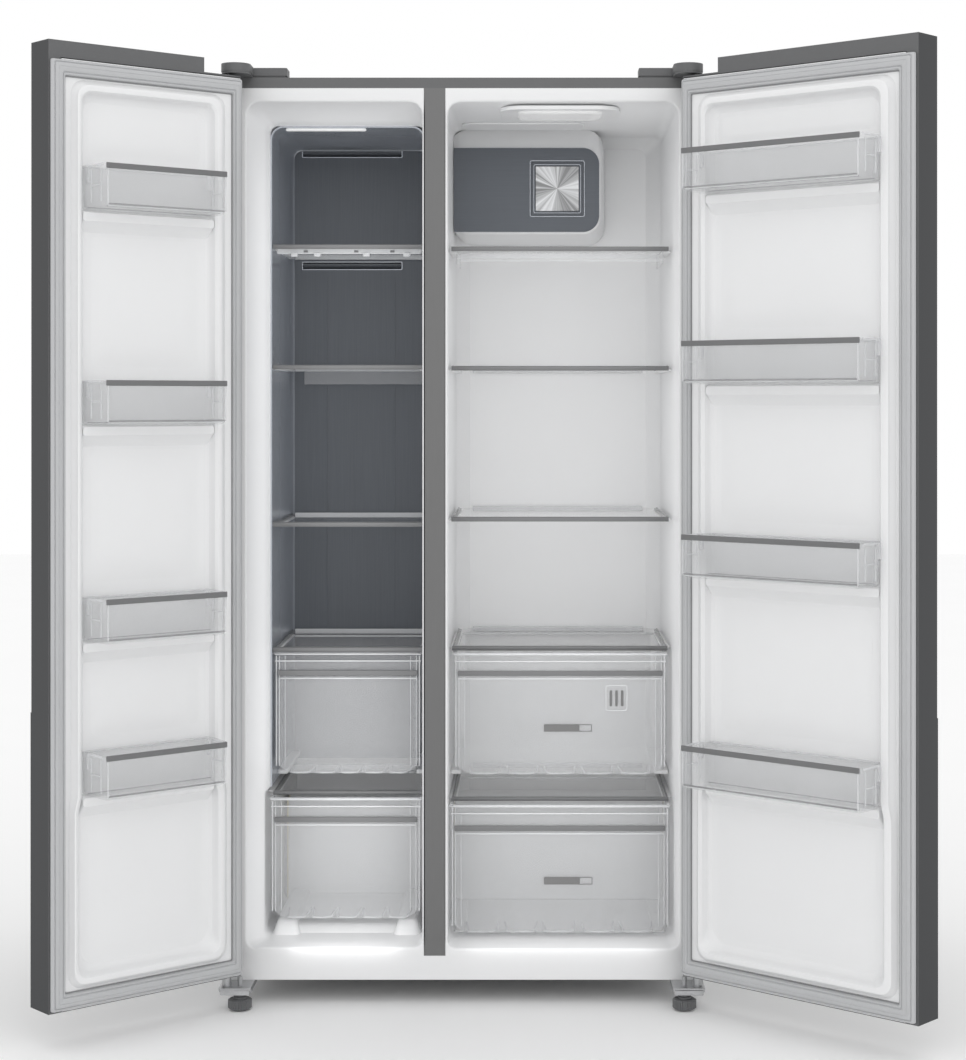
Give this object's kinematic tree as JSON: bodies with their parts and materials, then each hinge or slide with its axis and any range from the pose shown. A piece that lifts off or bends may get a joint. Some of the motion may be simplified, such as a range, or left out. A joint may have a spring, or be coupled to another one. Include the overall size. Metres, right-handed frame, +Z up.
{
  "type": "side by side refrigerator",
  "caption": "Side by side refrigerator with freezer and fridge compartments, hinged doors with lift-out bins, glass shelves and clear sliding drawers.",
  "frame": {"origin": "on the floor, under the middle of the box that holds the refrigerator with both doors at rest, which is 139 degrees open; the middle of the cabinet's front edge is at (-0.040, -0.079, 0)", "axes": "+Z up, +Y to the back, -Y the way the doors and drawers open, +X to the right as one faces the open refrigerator"},
  "size_m": [1.5966, 0.9662, 1.776],
  "materials": {
    "casing_grey": "satin paint",
    "door_dark": "satin dark inox lacquer",
    "liner_white": "moulded, light gloss",
    "galvanised": "zinc coated",
    "foam": "rigid foam",
    "dark_metal": "brushed, dark",
    "bright_plate": "spun, radial brush",
    "lamp": "diffusing",
    "zinc": "zinc plated",
    "cap_grey": "fine grain",
    "foot_grey": "moulded",
    "gasket_grey": "soft vinyl",
    "clear_plastic": "clear",
    "shelf_glass": "toughened, clear",
    "rail_grey": "brushed look",
    "compressor_black": "gloss enamel",
    "coil": "mill finish"
  },
  "bodies": {
    "cabinet": {"cabinet_wrap": "casing_grey", "back_panel": "galvanised", "base_tray": "galvanised", "front_skirt": "liner_white", "divider_cover": "rail_grey", "freezer_liner": "liner_white", "fridge_liner": "liner_white", "foam_insulation": "foam", "freezer_air_panel": "dark_metal", "evaporator": "coil", "evaporator_fan_motor": "foot_grey", "fridge_air_duct": "liner_white", "duct_fascia": "dark_metal", "fascia_plate": "bright_plate", "lamp_covers": "lamp", "fridge_shelf_glass": "shelf_glass", "freezer_shelf_glass": "shelf_glass", "fridge_shelf_trims": "rail_grey", "freezer_shelf_trims": "rail_grey", "shelf_supports": "liner_white", "upper_hinge_plates": "zinc", "hinge_covers": "cap_grey", "lower_hinge_brackets": "zinc", "hinge_pins": "zinc", "compressor": "compressor_black", "condenser": "coil", "drip_tray": "foot_grey", "rear_bay_cover": "galvanised"},
    "fridge_upper_drawer": {"fridge_upper_drawer": "clear_plastic", "fridge_upper_drawer_strip": "rail_grey"},
    "fridge_lower_drawer": {"fridge_lower_drawer": "clear_plastic", "fridge_lower_drawer_strip": "rail_grey"},
    "freezer_upper_drawer": {"freezer_upper_drawer": "clear_plastic", "freezer_upper_drawer_strip": "rail_grey"},
    "freezer_lower_drawer": {"freezer_lower_drawer": "clear_plastic", "freezer_lower_drawer_strip": "rail_grey"},
    "freezer_door": {"freezer_door_skin": "door_dark", "freezer_door_handle_trim": "door_dark", "freezer_door_end_caps": "cap_grey", "freezer_door_liner": "liner_white", "freezer_door_foam": "foam", "freezer_door_gasket": "gasket_grey"},
    "freezer_bin_1": {"freezer_door_bin_1": "clear_plastic"},
    "freezer_bin_2": {"freezer_door_bin_2": "clear_plastic"},
    "freezer_bin_3": {"freezer_door_bin_3": "clear_plastic"},
    "freezer_bin_4": {"freezer_door_bin_4": "clear_plastic"},
    "fridge_door": {"fridge_door_skin": "door_dark", "fridge_door_handle_trim": "door_dark", "fridge_door_end_caps": "cap_grey", "fridge_door_liner": "liner_white", "fridge_door_foam": "foam", "fridge_door_gasket": "gasket_grey"},
    "fridge_bin_1": {"fridge_door_bin_1": "clear_plastic"},
    "fridge_bin_2": {"fridge_door_bin_2": "clear_plastic"},
    "fridge_bin_3": {"fridge_door_bin_3": "clear_plastic"},
    "fridge_bin_4": {"fridge_door_bin_4": "clear_plastic"},
    "levelling_foot_right": {"levelling_foot_right": "foot_grey"},
    "levelling_foot_left": {"levelling_foot_left": "foot_grey"},
    "evaporator_fan": {"evaporator_fan": "foot_grey"},
    "rear_rollers": {"rear_rollers": "foot_grey"}
  },
  "joints": [
    {"name": "freezer_door_hinge", "type": "hinge", "parent": "cabinet", "child": "freezer_door", "pos_m": [-0.482, -0.119, 0.9], "axis": [0, 0, -1], "range_deg": [-139, 11]},
    {"name": "freezer_bin_1_lift", "type": "slide", "parent": "freezer_door", "child": "freezer_bin_1", "axis": [0, 0, 1], "range_m": [0, 0.048]},
    {"name": "freezer_bin_2_lift", "type": "slide", "parent": "freezer_door", "child": "freezer_bin_2", "axis": [0, 0, 1], "range_m": [0, 0.048]},
    {"name": "freezer_bin_3_lift", "type": "slide", "parent": "freezer_door", "child": "freezer_bin_3", "axis": [0, 0, 1], "range_m": [0, 0.048]},
    {"name": "freezer_bin_4_lift", "type": "slide", "parent": "freezer_door", "child": "freezer_bin_4", "axis": [0, 0, 1], "range_m": [0, 0.048]},
    {"name": "fridge_door_hinge", "type": "hinge", "parent": "cabinet", "child": "fridge_door", "pos_m": [0.402, -0.119, 0.9], "axis": [0, 0, 1], "range_deg": [-139, 11]},
    {"name": "fridge_bin_1_lift", "type": "slide", "parent": "fridge_door", "child": "fridge_bin_1", "axis": [0, 0, 1], "range_m": [0, 0.048]},
    {"name": "fridge_bin_2_lift", "type": "slide", "parent": "fridge_door", "child": "fridge_bin_2", "axis": [0, 0, 1], "range_m": [0, 0.048]},
    {"name": "fridge_bin_3_lift", "type": "slide", "parent": "fridge_door", "child": "fridge_bin_3", "axis": [0, 0, 1], "range_m": [0, 0.048]},
    {"name": "fridge_bin_4_lift", "type": "slide", "parent": "fridge_door", "child": "fridge_bin_4", "axis": [0, 0, 1], "range_m": [0, 0.048]},
    {"name": "fridge_upper_drawer_slide", "type": "slide", "parent": "cabinet", "child": "fridge_upper_drawer", "axis": [0, -1, 0], "range_m": [0, 0.3]},
    {"name": "fridge_lower_drawer_slide", "type": "slide", "parent": "cabinet", "child": "fridge_lower_drawer", "axis": [0, -1, 0], "range_m": [0, 0.28]},
    {"name": "freezer_upper_drawer_slide", "type": "slide", "parent": "cabinet", "child": "freezer_upper_drawer", "axis": [0, -1, 0], "range_m": [0, 0.3]},
    {"name": "freezer_lower_drawer_slide", "type": "slide", "parent": "cabinet", "child": "freezer_lower_drawer", "axis": [0, -1, 0], "range_m": [0, 0.28]},
    {"name": "evaporator_fan_spin", "type": "hinge", "parent": "cabinet", "child": "evaporator_fan", "pos_m": [-0.265, 0.369, 1.33], "axis": [0, 1, 0], "continuous": true},
    {"name": "levelling_foot_left_turn", "type": "hinge", "parent": "cabinet", "child": "levelling_foot_left", "pos_m": [-0.457, -0.119, 0.01], "axis": [0, 0, 1], "continuous": true},
    {"name": "levelling_foot_right_turn", "type": "hinge", "parent": "cabinet", "child": "levelling_foot_right", "pos_m": [0.377, -0.119, 0.01], "axis": [0, 0, 1], "continuous": true},
    {"name": "rear_rollers_spin", "type": "hinge", "parent": "cabinet", "child": "rear_rollers", "pos_m": [-0.04, 0.436, 0.02], "axis": [1, 0, 0], "continuous": true}
  ]
}
